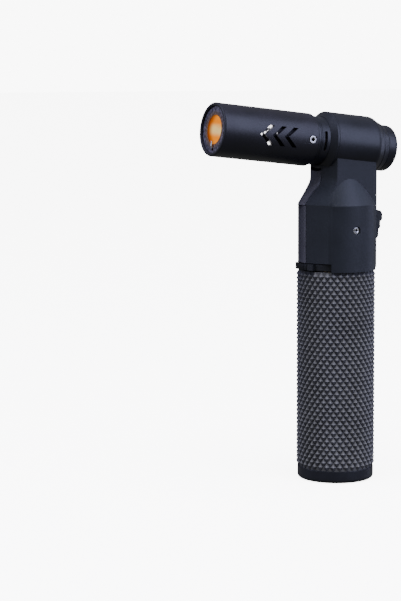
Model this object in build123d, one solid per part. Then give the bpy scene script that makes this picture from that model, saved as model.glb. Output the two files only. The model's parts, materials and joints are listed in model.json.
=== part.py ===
from build123d import *
from math import cos, sin, radians, sqrt
import os

# Butane torch: a knurled fuel-tank grip carries a two-piece housing with a hinged trigger, and a
# burner head whose barrel tilts up a few degrees. Millimetres. The origin is the centre of the base
# on the surface it stands on, +Z runs up the grip, +X is the way the barrel points.

# ---------------------------------------------------------------- driving sizes
fit = 0.05                  # radial clearance of a running or push fit
gap = 0.3                   # free space between pieces that move past each other

# base and grip
grip_r = 17.0               # outside of the grip
grip_h = 85.5
grip_wall = 1.6
base_h = 5.2
base_inset = 0.55           # how much smaller the base ring is than the grip
base_round = 1.5
recess_r = 8.5              # hollow under the base for the refill valve
recess_h = 2.0

# fuel tank
tank_wall = 1.2
tank_floor = 1.5
tank_seat = 3.0             # height of the base ring's spigot
tank_drop = 5.7             # tank rim below the top of the grip
head_plug_h = 5.0           # part of the tank head inside the tank
head_flange_h = 3.0

# refill valve
fill_r = 3.0
fill_flange_r = 5.5
fill_flange_h = 1.3
fill_seal_h = 0.5
fill_above = 8.0            # valve body above the tank floor's underside
fill_low_z = 2.6
fill_stem_r = 1.0
fill_head_h = 1.35

# gas outlet valve
valve_r = 4.0
valve_hex_r = 6.4
valve_hex_h = 2.6
valve_depth = 11.0          # valve body below the tank rim
valve_chamber_r = 2.7
stem_r = 1.25
stem_flange_r = 2.6
nipple_r = 0.9
wick_l = 19.0

# flame adjuster
adjuster_h = 2.75
adjuster_tab_deg = 24.0     # half the tab's width
adjuster_swing_deg = 26.0   # swing each way
adjuster_proud = 0.5        # tab beyond the grip

# housing
housing_h = 28.0            # height of the round lower part
housing_wall = 1.6
shoulder_h = 11.2           # height of the cone between lower part and neck
neck_half = 11.0            # half the neck's width across its flats
neck_h = 41.1               # grip top to the underside of the burner head
facet_deg = 29.0            # direction of the two front facets
facet_cut = 0.85            # depth of the facets at the lower part
facet_in = 5.32             # how far the facets step in towards the neck
facet_rise = 9.2            # height over which they step in
facet_round = 9.0
skirt_h = 3.6               # thin skirt that hides the adjuster ring
skirt_wall = 0.7

# front cover, back spine
cover_half = 2.75
cover_proud = 0.65
cover_t = 1.3
spine_half = 4.9
spine_proud = 0.8
spine_t = 1.8
strip_skirt_gap = 0.05      # cover above the skirt
strip_side_gap = 0.2        # housing slot beside the cover

# fasteners and bosses
screw_head_r = 1.4
screw_head_h = 1.15
screw_shank_r = 1.0
screw_shank_l = 8.1
screw_hole_r = 1.1
counterbore_r = 1.75
counterbore_h = 1.8
screw_boss_r = 2.6
lever_boss_r = 2.4
pivot_boss_r = 2.1
bracket_t = 1.2
bracket_ear_t = 2.5
bracket_ear_back = 5.7      # ears' outer faces behind the screw seats
barrel_screw_r = 1.6
barrel_shank_r = 0.98

# trigger
trigger_in = 7.6            # how far the finger face steps back from the cover's face
trigger_rise = 10.3         # height over which it steps back
trigger_h = 15.5
trigger_skin = 1.8
finger_round = 9.0          # the finger face's curve
trigger_low_half = 2.35
trigger_top_half = 3.85
trigger_swing_deg = 15.0
swing_steps = 8             # the trigger is kept clear of the head at this many steps of its swing
trigger_rib_half = 1.2
tail_nose_r = 0.9           # rounded end of the trigger's tail, which presses the lever
tail_half = 1.6
tail_back = 4.4             # tail's end behind the pivot
tail_drop = 3.0             # and below it
pin_r = 1.0
pivot_back = 3.25           # pivot axis behind the cover's face
pivot_drop = 1.1            # pivot axis below the trigger's corner
knuckle_r = 1.6
trigger_pin_half = 4.9
lever_pin_half = 8.0

# spark unit
piezo_l = 11.0
piezo_w = 7.0
piezo_t = 8.4
plunger_w = 4.4
plunger_out = 4.6
plunger_in = 5.0
nose_r = 1.8
nose_half = 2.3

# gas lever
lever_back = 3.4            # lever pivot behind the trigger pivot
lever_up = 14.8             # lever pivot above the grip's top
lever_half = 3.8
fork_half = 1.6
fork_pad_r = 0.9
fork_up = 10.7
lever_hub_r = 2.0

# thumb slide
slide_low = 12.6            # above the grip's top
slide_h = 12.6
slide_half = 4.0
slide_travel = 4.0
slide_steps = 4             # the thumb piece is divided into this many heights
slide_stem_half = 1.3
slide_stem_h = 5.0
slide_slot_up = 1.4         # slot above the thumb piece's lower edge
plate_half = 3.2            # plate behind the spine
plate_t = 1.0

# burner head and barrel, along an axis that tilts up towards the mouth
barrel_tilt_deg = 6.55
head_r = 12.8
head_wall = 1.4
head_front = 9.3
head_over = 0.5             # head's rear behind the back of the grip
head_chamfer = 2.1
shoulder_in = 1.7           # rounded shoulder at the head's rear
shoulder_l = 3.2
shoulder_round = 4.0
tail_l = 8.15
tail_r = 9.9
tail_round = 2.0
collar_r = 10.3
collar_l = 6.0
collar_slot_up = 2.1        # side slots in front of the head
collar_slot_deg = 24.0      # half their width around the collar
collar_slot_w = 1.24
barrel_r = 11.2
barrel_wall = 1.5
barrel_l = 45.3
mouth_recess = 0.95
flame_r = 6.05
flame_wall = 0.45
flame_l = 19.0
ring_t = 0.7
notch_w = 1.6
shield_wall = 0.5
spigot_l = 7.7
vent_pitch = 5.7
vent_first = 17.2           # first vent's tip in front of the barrel's rear edge
vent_back = 4.6
vent_half = 4.1
vent_w = 2.3
screw_back = 3.3            # barrel screws in front of the barrel's rear edge
electrode_drop = 7.5        # electrode below the barrel's axis
nozzle_r = 2.4
electrode_r = 0.4
insulator_r = 1.0
lead_r = 0.7
hose_r = 1.6
hose_way_x = (-13.0, 3.0)   # opening in the head's underside for hose and lead
hose_way_half = 5.5

# ---------------------------------------------------------------- places worked out from them
grip_top = base_h + grip_h
grip_in = grip_r - grip_wall
base_r = grip_r - base_inset
tank_low = base_h + tank_seat
tank_top = grip_top - tank_drop
tank_r = grip_in - 0.4
tank_in = tank_r - tank_wall
tank_head_top = tank_top + head_flange_h
valve_neck_top = grip_top + 5.5
valve_top = valve_neck_top + 2.0
seat_z = tank_top - valve_depth + 5.0

facet_d = grip_r - facet_cut
shoulder_z = grip_top + housing_h
cover_x = grip_r + cover_proud
cover_top = shoulder_z - 0.25
trigger_x = cover_x + 0.15
trigger_z = shoulder_z + 0.4
pivot_x = cover_x - pivot_back
pivot_z = trigger_z - pivot_drop
finger_x = trigger_x - trigger_in
nose_x = finger_x - 1.5
nose_z = trigger_z + 11.5
lever_x = pivot_x - lever_back
lever_z = grip_top + lever_up
fork_z = grip_top + fork_up
flange_z = fork_z + fork_pad_r + 0.15
tail_x = pivot_x - tail_back
tail_z = pivot_z - tail_drop
arm_x = tail_x + tail_nose_r + 0.2
arm_top = tail_z + 0.7

fill_flange_top = tank_low - fill_seal_h
fill_flange_low = fill_flange_top - fill_flange_h
fill_top = tank_low + fill_above
fill_chamber_z = fill_low_z + 3.6
fill_chamber_r = fill_stem_r + 1.0
fill_plug_z = fill_top - 1.5
fill_head_z = fill_chamber_z + fit

adjuster_low = grip_top + 0.55
adjuster_top = adjuster_low + adjuster_h
adjuster_ring_r = facet_d - 0.15
adjuster_tab_r = grip_r + adjuster_proud

screw_x = 0.2
screw_z = grip_top + 17.6
screw_seat = grip_r - counterbore_h
bracket_ear_out = screw_seat - bracket_ear_back
bracket_ear_in = bracket_ear_out - bracket_ear_t
spine_x = -(grip_r + spine_proud)
rebate_x = spine_x + spine_t
slide_slot_low = grip_top + slide_low + slide_slot_up
slide_slot_high = slide_slot_low + slide_stem_h + slide_travel + 2 * gap
inner_plate_x = gap - sqrt(grip_in ** 2 - plate_half ** 2)

tilt = radians(barrel_tilt_deg)
axis_z = grip_top + neck_h + head_r / cos(tilt)
head_rear = -(grip_r + head_over)
barrel_rear = head_front + collar_l
mouth = barrel_rear + barrel_l
barrel_in = barrel_r - barrel_wall
ring_front = mouth - mouth_recess
flame_out = flame_r + flame_wall
shield_r = barrel_in - gap
spigot_r = barrel_in - fit
spigot_in = spigot_r - 0.8
holder_rear = head_front - 4.3
holder_t = 3.0
holder_front = holder_rear + holder_t
mixer_r = 3.6
mixer_front = ring_front - flame_l - 2.0
electrode_rear = holder_front + 1.5
insulator_front = ring_front - flame_l - ring_t - 1.0

# The trigger's nose pushes the spark unit along the chord of its own arc.
nose_dx = nose_x - pivot_x
nose_dz = nose_z - pivot_z
nose_arm = sqrt(nose_dx ** 2 + nose_dz ** 2)
half_swing = radians(trigger_swing_deg) / 2
push_x = (-nose_dz * cos(half_swing) - nose_dx * sin(half_swing)) / nose_arm
push_z = (nose_dx * cos(half_swing) - nose_dz * sin(half_swing)) / nose_arm
plunger_travel = 2 * nose_arm * sin(half_swing)

barrel_frame = Plane(origin=(0, 0, axis_z), x_dir=(0, 1, 0), z_dir=(cos(tilt), 0, sin(tilt)))
piezo_start = (nose_x + (nose_r + 0.2) * push_x, 0, nose_z + (nose_r + 0.2) * push_z)
piezo_frame = Plane(origin=piezo_start, x_dir=(push_x, 0, push_z), z_dir=(0, -1, 0))


# ---------------------------------------------------------------- helpers
def rod(radius, low, high):
    """A cylinder on the Z axis between two heights."""
    return Pos(0, 0, (low + high) / 2) * Cylinder(radius, high - low)


def tube(outer, inner, low, high):
    """A plain tube on the Z axis."""
    return rod(outer, low, high) - rod(inner, low - 1, high + 1)


def through(radius):
    """A cylinder on the Z axis that is longer than any piece it cuts."""
    return rod(radius, -grip_h, grip_h)


def block(x, y, z):
    """A box from three (low, high) pairs."""
    middle = [(low + high) / 2 for low, high in (x, y, z)]
    size = [high - low for low, high in (x, y, z)]
    return Pos(*middle) * Box(*size)


def cross_rod(radius, x, z, low, high):
    """A cylinder along Y at a place in the XZ plane."""
    return Pos(x, (low + high) / 2, z) * Rot(90, 0, 0) * Cylinder(radius, high - low)


def turned(corners, rounds=()):
    """A solid turned about Z from (radius, height) corners; rounds holds (corner, radius) pairs."""
    outline = Plane.XZ * make_face(Polyline(*corners, close=True))
    for corner, radius in rounds:
        r, z = corners[corner]
        outline = fillet(outline.vertices().sort_by_distance(Vector(r, 0, z))[0], radius)
    return revolve(outline, Axis.Z)


def side_plate(corners, low, high):
    """A plate with an outline of (x, z) corners, between two values of y."""
    face = Plane.XZ * make_face(Polyline(*corners, close=True))
    return Pos(0, high, 0) * extrude(face, high - low)


def coil(radius, wire, low, high, turns):
    """A compression spring on the Z axis that just fits between two heights."""
    height = high - low - 2 * wire
    path = Pos(0, 0, low + wire) * Helix(height / turns, height, radius)
    section = Plane(origin=path @ 0, z_dir=path % 0) * Circle(wire)
    return sweep(section, path=path, is_frenet=True)


def routed(points, radii, outer, inner=0):
    """A tube along straight runs joined by tangent arcs."""
    path = FilletPolyline(*points, radius=radii)
    section = Circle(outer) - Circle(inner) if inner else Circle(outer)
    return sweep(Plane(origin=path @ 0, z_dir=path % 0) * section, path=path)


def on_axis(along, up=0.0, side=0.0):
    """A point near the barrel's axis: along it, above it and to its +Y side."""
    x = along * cos(tilt) - up * sin(tilt)
    z = axis_z + along * sin(tilt) + up * cos(tilt)
    return (x, side, z)


def mirrored(solid):
    """The solid and its copy on the -Y side."""
    return solid + mirror(solid, Plane.XZ)


# ---------------------------------------------------------------- base, tank and refill valve
def base_cap():
    corners = [(6.1, recess_h), (recess_r, recess_h), (recess_r, 0), (base_r, 0), (base_r, base_h),
               (grip_in - fit, base_h), (grip_in - fit, tank_low), (tank_in - 1.3, tank_low),
               (tank_in - 1.3, base_h), (6.1, base_h)]
    return turned(corners, [(3, base_round)])


def grip_sleeve():
    return tube(grip_r, grip_in, base_h, grip_top)


def fuel_tank():
    cup = rod(tank_r, tank_low, tank_top) - rod(tank_in, tank_low + tank_floor, tank_top + 1)
    return cup - rod(fill_r + fit, tank_low - 1, tank_low + tank_floor + 1)


def fill_valve_body():
    body = rod(fill_r, fill_low_z, fill_top) + rod(fill_flange_r, fill_flange_low, fill_flange_top)
    bore = rod(fill_stem_r + fit, fill_low_z - 1, fill_chamber_z)
    return body - bore - rod(fill_chamber_r, fill_chamber_z, fill_top + 1)


def fill_valve_seal():
    return tube(fill_flange_r - 0.1, fill_r + fit, fill_flange_top, tank_low)


def fill_valve_plug():
    return tube(fill_chamber_r - 0.02, 0.7, fill_plug_z, fill_top)


def fill_valve_stem():
    stem = rod(fill_stem_r, fill_low_z - 1.7, fill_head_z + 0.5)
    return stem + rod(fill_chamber_r - 0.25, fill_head_z, fill_head_z + fill_head_h)


def fill_valve_spring():
    return coil(fill_chamber_r - 0.6, 0.25, fill_head_z + fill_head_h, fill_plug_z, 5)


# ---------------------------------------------------------------- tank head and outlet valve
def tank_head():
    plug_low = tank_top - head_plug_h
    groove_low = plug_low + 1.8
    corners = [(valve_r + 0.02, plug_low), (tank_in - fit, plug_low), (tank_in - fit, groove_low),
               (tank_in - 1.3, groove_low), (tank_in - 1.3, groove_low + 1.8),
               (tank_in - fit, groove_low + 1.8), (tank_in - fit, tank_top), (tank_r, tank_top),
               (tank_r, tank_head_top), (valve_r + 0.02, tank_head_top)]
    return turned(corners)


def tank_oring():
    low = tank_top - head_plug_h + 1.85
    inner, outer = tank_in - 1.28, tank_in - 0.02
    corners = [(inner, low), (outer, low), (outer, low + 1.7), (inner, low + 1.7)]
    return turned(corners, [(corner, 0.4) for corner in range(4)])


def outlet_valve_body():
    low = tank_top - valve_depth
    hexagon = extrude(RegularPolygon(valve_hex_r, 6), valve_hex_h)
    body = rod(valve_r, low, valve_neck_top) + Pos(0, 0, tank_head_top) * hexagon
    body += rod(valve_r - 1.0, valve_neck_top, valve_top)
    chamber = rod(valve_chamber_r, low - 1, tank_head_top)
    return body - chamber - rod(stem_r + fit, tank_head_top - 1, valve_top + 1)


def outlet_valve_plug():
    return tube(valve_chamber_r - 0.02, 0.5, seat_z - 2.0, seat_z)


def outlet_valve_seat():
    return rod(2.2, seat_z + 0.02, seat_z + 1.3)


def outlet_valve_stem():
    stem = rod(2.4, seat_z + 1.3, seat_z + 3.0) + rod(stem_r, seat_z + 3.0, flange_z)
    stem += rod(stem_flange_r, flange_z, flange_z + 1.15)
    stem += rod(nipple_r, flange_z + 1.15, flange_z + 5.0)
    gas_way = rod(0.45, seat_z + 3.5, flange_z + 6.0)
    return stem - gas_way - cross_rod(0.4, 0, seat_z + 4.4, -3, 3)


def outlet_valve_spring():
    return coil(stem_r + 0.65, 0.25, seat_z + 3.0, tank_head_top, 5)


def vapour_wick():
    return rod(valve_chamber_r - 0.2, seat_z - 2.0 - wick_l, seat_z - 2.0)


def valve_bracket():
    plate = rod(neck_half, tank_head_top, tank_head_top + bracket_t) - rod(valve_hex_r + 0.2, 0, grip_top)
    ear = block((-4, 4), (bracket_ear_in, bracket_ear_out), (tank_head_top, screw_z + 3.2))
    ear -= cross_rod(screw_shank_r + 0.02, screw_x, screw_z, bracket_ear_in - 1, bracket_ear_out + 1)
    return plate + mirrored(ear)


# ---------------------------------------------------------------- flame adjuster
def sector(radius, half_deg, low, high):
    """A pie slice of a cylinder, centred on +X."""
    edge = radius * 1.5
    corners = [(0, 0)]
    for step in range(-2, 3):
        angle = radians(half_deg) * step / 2
        corners.append((edge * cos(angle), edge * sin(angle)))
    wedge = extrude(make_face(Polyline(*corners, close=True)), high - low)
    return rod(radius, low, high) & (Pos(0, 0, low) * wedge)


def flame_adjuster():
    hub = tube(valve_r + 2.4, valve_r + fit, adjuster_low, adjuster_top)
    rim = tube(adjuster_ring_r, adjuster_ring_r - 1.3, adjuster_low, adjuster_top)
    arms = block((valve_r + 1, adjuster_ring_r - 0.6), (-2.2, 2.2), (adjuster_low, adjuster_top - 0.6))
    arms += mirror(arms, Plane.YZ)
    tab = sector(adjuster_tab_r, adjuster_tab_deg, adjuster_low, adjuster_top)
    tab -= rod(adjuster_ring_r - 0.6, adjuster_low - 1, adjuster_top + 1)
    for number in range(-4, 5):
        turn = number * 3.2
        groove = block((adjuster_tab_r - 0.3, adjuster_tab_r + 1), (-0.22, 0.22),
                       (adjuster_low - 1, adjuster_top + 1))
        tab -= Rot(0, 0, turn) * groove
    return hub + rim + arms + tab


def adjuster_clip():
    return tube(valve_r + 1.6, valve_r, adjuster_top + 0.2, adjuster_top + 1.0)


# ---------------------------------------------------------------- housing
def facet_outside(side, inset):
    """What lies in front of one front facet, moved inwards by inset."""
    low_d = facet_d - inset
    top_d = low_d - facet_in
    low_z = trigger_z - 0.1 - 0.3 * inset
    far = grip_r * 3
    high = axis_z + head_r
    path = FilletPolyline((low_d, low_z), (top_d, low_z + facet_rise), (top_d, high), radius=facet_round)
    rest = Polyline((top_d, high), (far, high), (far, -1), (low_d, -1), (low_d, low_z))
    angle = radians(facet_deg) * side
    across = (sin(angle), -cos(angle), 0)
    plane = Plane(origin=(0, 0, 0), x_dir=(cos(angle), sin(angle), 0), z_dir=across)
    return extrude(plane * make_face(path + rest), grip_r * 2, both=True)


def housing_form(inset):
    """The housing's outer form, or its hollow when inset is the wall."""
    radius = grip_r - inset
    half = neck_half - inset
    low = grip_top if inset == 0 else grip_top + skirt_h
    shoulder = shoulder_z - 0.4 * inset
    cone = Pos(0, 0, shoulder + shoulder_h / 2) * Cone(radius, half, shoulder_h)
    neck = rod(radius, low, axis_z) & block((-grip_r, grip_r), (-half, half), (low, axis_z))
    form = rod(radius, low, shoulder) + cone + neck
    return form - facet_outside(1, inset) - facet_outside(-1, inset)


def head_envelope(clearance):
    """The space of the burner head, grown all round by a clearance."""
    c = clearance
    neck_r = head_r - shoulder_in + c
    corners = [(0, head_rear - tail_l - c), (tail_r + c, head_rear - tail_l - c),
               (tail_r + c, head_rear - 3.0), (neck_r, head_rear - 0.6), (neck_r, head_rear),
               (head_r + c, head_rear + shoulder_l), (head_r + c, head_front - head_chamfer + c),
               (collar_r + 0.2 + c, head_front + c), (collar_r + c, barrel_rear - c),
               (barrel_r + c, barrel_rear - c), (barrel_r + c, mouth), (0, mouth)]
    return barrel_frame.location * turned(corners, [(5, shoulder_round)])


def trigger_outline(grow, low):
    """The trigger's front outline, grown sideways, as a prism along X."""
    narrow = trigger_low_half + grow
    wide = trigger_top_half + grow
    top = trigger_z + trigger_h + grow
    start = trigger_z + 3.2
    wing = [(0, low), (narrow, low), (narrow, start), (wide, start + 5.0), (wide, top), (0, top)]
    face = Plane.YZ * make_face(Polyline(*wing, close=True))
    return mirrored(Pos(5, 0, 0) * extrude(face, grip_r))


def boss(radius, x, z, low, high):
    return mirrored(cross_rod(radius, x, z, low, high))


def housing_shell():
    outer = housing_form(0)
    shell = outer - housing_form(housing_wall)
    shell -= rod(grip_r - skirt_wall, 0, grip_top + skirt_h)
    bosses = boss(screw_boss_r, screw_x, screw_z, bracket_ear_out, grip_r)
    bosses += boss(lever_boss_r, lever_x, lever_z, lever_half + gap, grip_r)
    bosses += boss(pivot_boss_r, pivot_x, pivot_z, trigger_low_half + gap, grip_r)
    pad_x = (plunger_out + 2.4, plunger_out + 9.4)
    pad = piezo_frame.location * block(pad_x, (-2, 2), (piezo_w / 2, neck_half))
    bosses += mirrored(pad)
    shell += bosses & outer
    notch_deg = adjuster_tab_deg + adjuster_swing_deg + 1.5
    shell -= sector(grip_r + 2, notch_deg, 0, grip_top + skirt_h)
    slot_half = cover_half + strip_side_gap
    slot_x = (cover_x - cover_t - strip_skirt_gap, grip_r + 2)
    shell -= block(slot_x, (-slot_half, slot_half), (0, cover_top + strip_side_gap))
    shell -= trigger_outline(gap, pivot_z - knuckle_r - 0.5)
    shell -= block((-grip_r - 2, rebate_x), (-spine_half, spine_half), (0, axis_z))
    stem_slot_half = slide_stem_half + gap
    stem_slot = (-stem_slot_half, stem_slot_half)
    shell -= block((-grip_r, -grip_r / 2), stem_slot, (slide_slot_low, slide_slot_high))
    shell -= cross_rod(pin_r + 0.02, pivot_x, pivot_z, -trigger_pin_half, trigger_pin_half)
    shell -= cross_rod(pin_r + 0.02, lever_x, lever_z, -lever_pin_half, lever_pin_half)
    shell -= cross_rod(screw_hole_r, screw_x, screw_z, -grip_r, grip_r)
    shell -= boss(counterbore_r, screw_x, screw_z, screw_seat, grip_r + 1)
    return shell - head_envelope(0.03)


def housing_half(shell, side):
    reach = grip_r * 2
    low, high = (0, reach) if side > 0 else (-reach, 0)
    return shell & block((-reach, reach), (low, high), (0, axis_z + reach))


def cross_slot(depth, width, span):
    return Box(span, width, depth) + Box(width, span, depth)


def housing_screws():
    screw = rod(screw_head_r, 0, screw_head_h) + rod(screw_shank_r, -screw_shank_l, 0)
    screw -= Pos(0, 0, screw_head_h) * cross_slot(1.0, 0.45, 1.9)
    return mirrored(Pos(screw_x, screw_seat, screw_z) * Rot(-90, 0, 0) * screw)


def front_cover():
    low = grip_top + skirt_h + strip_skirt_gap
    strip = block((cover_x - cover_t, cover_x), (-cover_half, cover_half), (low, cover_top))
    front = strip.edges().filter_by(Axis.Z).sort_by(Axis.X)[-2:]
    strip = fillet(front, 0.5)
    groove = block((cover_x - 0.35, cover_x + 1), (-1.0, 1.0), (0, shoulder_z))
    return strip - groove


def back_spine():
    strip = block((spine_x, rebate_x), (-spine_half, spine_half), (grip_top + 0.3, axis_z))
    outer = strip.edges().filter_by(Axis.Z).sort_by(Axis.X)[:2]
    strip = fillet(outer, 0.6)
    slot_half = slide_stem_half + gap
    strip -= block((-grip_r * 2, 0), (-slot_half, slot_half), (slide_slot_low, slide_slot_high))
    return strip - head_envelope(0.03)


# ---------------------------------------------------------------- trigger, spark unit and lever
def trigger():
    up_x, up_z = -trigger_in, trigger_rise
    length = sqrt(up_x ** 2 + up_z ** 2)
    back_x = trigger_x - trigger_skin * up_z / length
    back_z = trigger_z - trigger_skin * -up_x / length
    top = trigger_z + trigger_h
    inner_x = finger_x - trigger_skin
    slope = up_z / up_x
    inner_z = back_z + (inner_x - back_x) * slope
    low = trigger_z - 0.3
    bend_z = trigger_z + trigger_rise
    bend_reach = 0.95 * (trigger_h - trigger_rise) * trigger_in / (length - trigger_rise)
    face = FilletPolyline((trigger_x, trigger_z), (finger_x, bend_z), (finger_x, top),
                          radius=min(finger_round, bend_reach))
    back = Polyline((finger_x, top), (inner_x, top), (inner_x, inner_z),
                    (back_x + (low - back_z) / slope, low), (trigger_x, low), (trigger_x, trigger_z))
    skin = extrude(Plane.XZ * make_face(face + back), grip_r, both=True) & trigger_outline(0, low)
    rib = side_plate([(back_x - 0.8, trigger_z), (inner_x + 0.4, inner_z), (inner_x + 0.4, nose_z + 0.8),
                      (nose_x - 1.2, nose_z - 0.6), (pivot_x - 1.4, pivot_z)],
                     -trigger_rib_half, trigger_rib_half)
    nose = cross_rod(nose_r, nose_x, nose_z, -nose_half, nose_half)
    nose -= block((finger_x - 0.2, grip_r), (-grip_r, grip_r), (0, axis_z))
    knuckle = cross_rod(knuckle_r, pivot_x, pivot_z, -trigger_low_half, trigger_low_half)
    tail_y = (-tail_half, tail_half)
    tail = block((tail_x - tail_nose_r, pivot_x), tail_y, (pivot_z - 1.1, pivot_z + 0.6))
    tail += block((tail_x - tail_nose_r, tail_x + tail_nose_r), tail_y, (tail_z, pivot_z + 0.6))
    tail += cross_rod(tail_nose_r, tail_x, tail_z, -tail_half, tail_half)
    body = skin + rib + nose + knuckle + tail
    body -= cross_rod(pin_r + fit, pivot_x, pivot_z, -grip_r, grip_r)
    pivot = Pos(pivot_x, 0, pivot_z)
    for step in range(swing_steps + 1):
        turn = pivot * Rot(0, trigger_swing_deg * step / swing_steps, 0) * Pos(-pivot_x, 0, -pivot_z)
        body -= turn * head_envelope(gap)
    return body


def trigger_pin():
    return cross_rod(pin_r, pivot_x, pivot_z, -trigger_pin_half + fit, trigger_pin_half - fit)


def gas_lever_pin():
    return cross_rod(pin_r, lever_x, lever_z, -lever_pin_half + fit, lever_pin_half - fit)


def gas_lever():
    low = fork_z - 1.0
    high = fork_z + 0.1
    fork_end = -stem_flange_r - 0.6
    corners = [(lever_x - 0.4, lever_z + 1.9), (lever_x + 1.9, lever_z - 0.4),
               (lever_x - 0.4, lever_z - 1.9), (stem_flange_r, low), (fork_end, low), (fork_end, high),
               (2.0, high), (lever_x - 2.8, lever_z + 0.4)]
    arm = side_plate(corners, -lever_half, lever_half)
    arm -= block((-grip_r, lever_x - 3.0), (-fork_half, fork_half), (low - 1, lever_z + 3))
    arm += boss(fork_pad_r, 0, fork_z, fork_half, lever_half)
    arm += block((fork_end - 6.3, fork_end + 0.2), (-lever_half, -fork_half), (low, high))
    arm += cross_rod(lever_hub_r, lever_x, lever_z, -lever_half, lever_half)
    arm += block((arm_x, arm_x + 1.5), (-lever_hub_r, lever_hub_r), (lever_z, arm_top))
    return arm - cross_rod(pin_r + fit, lever_x, lever_z, -grip_r, grip_r)


def piezo_body():
    length = (plunger_out, plunger_out + piezo_l)
    shell = block(length, (-piezo_t / 2, piezo_t / 2), (-piezo_w / 2, piezo_w / 2))
    half = plunger_w / 2 + 0.1
    depth = plunger_out + plunger_in + plunger_travel + 0.4
    shell -= block((plunger_out - 1, depth), (-half, half), (-half, half))
    return piezo_frame.location * shell


def piezo_plunger():
    half = plunger_w / 2
    return piezo_frame.location * block((0, plunger_out + plunger_in), (-half, half), (-half, half))


def lock_slide():
    low = grip_top + slide_low
    outer = spine_x - gap
    step = slide_h / slide_steps
    second = low + step
    third = low + 2 * step
    corners = [(outer, low), (outer - 0.3, low + 0.2), (outer - 1.0, low + 1.1),
               (outer - 1.1, second + 0.7), (outer - 1.1, second + 0.8), (outer - 1.95, second + 1.7),
               (outer - 1.95, third + 1.0), (outer - 2.1, third + 1.1), (outer - 3.0, third + 1.9),
               (outer - 3.0, low + slide_h - 1.8), (outer - 2.2, low + slide_h - 0.6), (outer, low + slide_h)]
    thumb = side_plate(corners, -slide_half, slide_half)
    stem_low = slide_slot_low + gap
    stem_x = (outer - 0.1, inner_plate_x)
    stem = block(stem_x, (-slide_stem_half, slide_stem_half), (stem_low, stem_low + slide_stem_h))
    latch_low = grip_top + 3.9
    plate_top = stem_low + slide_stem_h + 3
    plate_x = (inner_plate_x, inner_plate_x + plate_t)
    plate = block(plate_x, (-plate_half, plate_half), (latch_low, plate_top))
    latch = block((inner_plate_x, -8.0), (-plate_half, -fork_half), (latch_low, latch_low + 1.3))
    return thumb + stem + plate + latch


# ---------------------------------------------------------------- burner head
def head_body():
    lip = collar_r + fit
    bore = head_r - head_wall
    groove_r = head_r - 0.12
    groove = head_front - 3.2
    corners = [(lip, head_front), (head_r - head_chamfer - 0.2, head_front),
               (head_r - 0.3, head_front - 1.9), (head_r, head_front - head_chamfer),
               (head_r, groove + 0.4), (groove_r, groove + 0.3), (groove_r, groove + 0.1),
               (head_r, groove), (head_r, head_rear + shoulder_l), (head_r - shoulder_in, head_rear),
               (tail_r + gap, head_rear), (tail_r + gap, head_rear + 2.5), (bore, head_rear + 4.2),
               (bore, head_front - 5), (lip, head_front - 4.3)]
    shell = barrel_frame.location * turned(corners, [(8, shoulder_round)])
    return shell - block(hose_way_x, (-hose_way_half, hose_way_half), (grip_top, axis_z))


def tail_cap():
    neck_r = head_r - shoulder_in - 0.05
    end = head_rear - tail_l
    corners = [(0, end), (tail_r, end), (tail_r, head_rear - 3.4), (tail_r - 0.15, head_rear - 3.2),
               (tail_r + 0.1, head_rear - 3.0), (neck_r - 0.2, head_rear - 0.9), (neck_r, head_rear - 0.6),
               (neck_r, head_rear), (tail_r + 0.25, head_rear), (tail_r + 0.25, head_rear + 2.3),
               (tail_r - 1.2, head_rear + 2.3), (tail_r - 1.2, end + 1.8), (0, end + 1.8)]
    return barrel_frame.location * turned(corners, [(1, tail_round)])


def air_collar():
    rear = head_front - 5.3
    inner = collar_r - 1.3
    front = barrel_rear + spigot_l
    corners = [(inner, rear), (collar_r, rear)]
    for groove in (barrel_rear - 2.2, barrel_rear - 1.5):
        corners += [(collar_r, groove), (collar_r - 0.2, groove + 0.1), (collar_r, groove + 0.2)]
    corners += [(collar_r, barrel_rear), (spigot_r, barrel_rear), (spigot_r, front), (spigot_in, front),
                (spigot_in, barrel_rear), (inner, barrel_rear - 0.2)]
    body = turned(corners)
    slot_z = head_front + collar_slot_up
    slot_half = collar_r * sin(radians(collar_slot_deg))
    slot_z_range = (slot_z - collar_slot_w / 2, slot_z + collar_slot_w / 2)
    slot = block((inner - 1, collar_r + 1), (-slot_half, slot_half), slot_z_range)
    slot = fillet(slot.edges().filter_by(Axis.X), collar_slot_w / 2 - 0.02)
    body -= slot + mirror(slot, Plane.YZ)
    screw = Rot(0, 90, 0) * rod(1.0, -barrel_r, barrel_r)
    body -= Pos(0, 0, barrel_rear + screw_back) * screw
    return barrel_frame.location * body


def vent_cut():
    """One arrow-shaped vent, pointing to the mouth, through the +Y side's wall."""
    corners = [(0, 0), (vent_half, -vent_back), (vent_half, -vent_back - vent_w), (0, -vent_w),
               (-vent_half, -vent_back - vent_w), (-vent_half, -vent_back)]
    face = Plane.YZ * make_face(Polyline(*corners, close=True))
    return Pos(barrel_r / 2, 0, 0) * extrude(face, barrel_r)


def barrel():
    body = turned([(barrel_in, barrel_rear), (barrel_r, barrel_rear), (barrel_r, mouth), (barrel_in, mouth)],
                  [(1, 0.5), (2, 0.7), (3, 0.5)])
    for number in range(3):
        vent = Pos(0, 0, barrel_rear + vent_first + number * vent_pitch) * vent_cut()
        body -= vent + mirror(vent, Plane.YZ)
    hole = rod(screw_shank_r + fit, 0, barrel_r + 1)
    hole += rod(barrel_screw_r + 0.25, barrel_r - 1.0, barrel_r + 1)
    hole = Rot(0, 90, 0) * hole
    body -= Pos(0, 0, barrel_rear + screw_back) * (hole + mirror(hole, Plane.YZ))
    return barrel_frame.location * body


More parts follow.
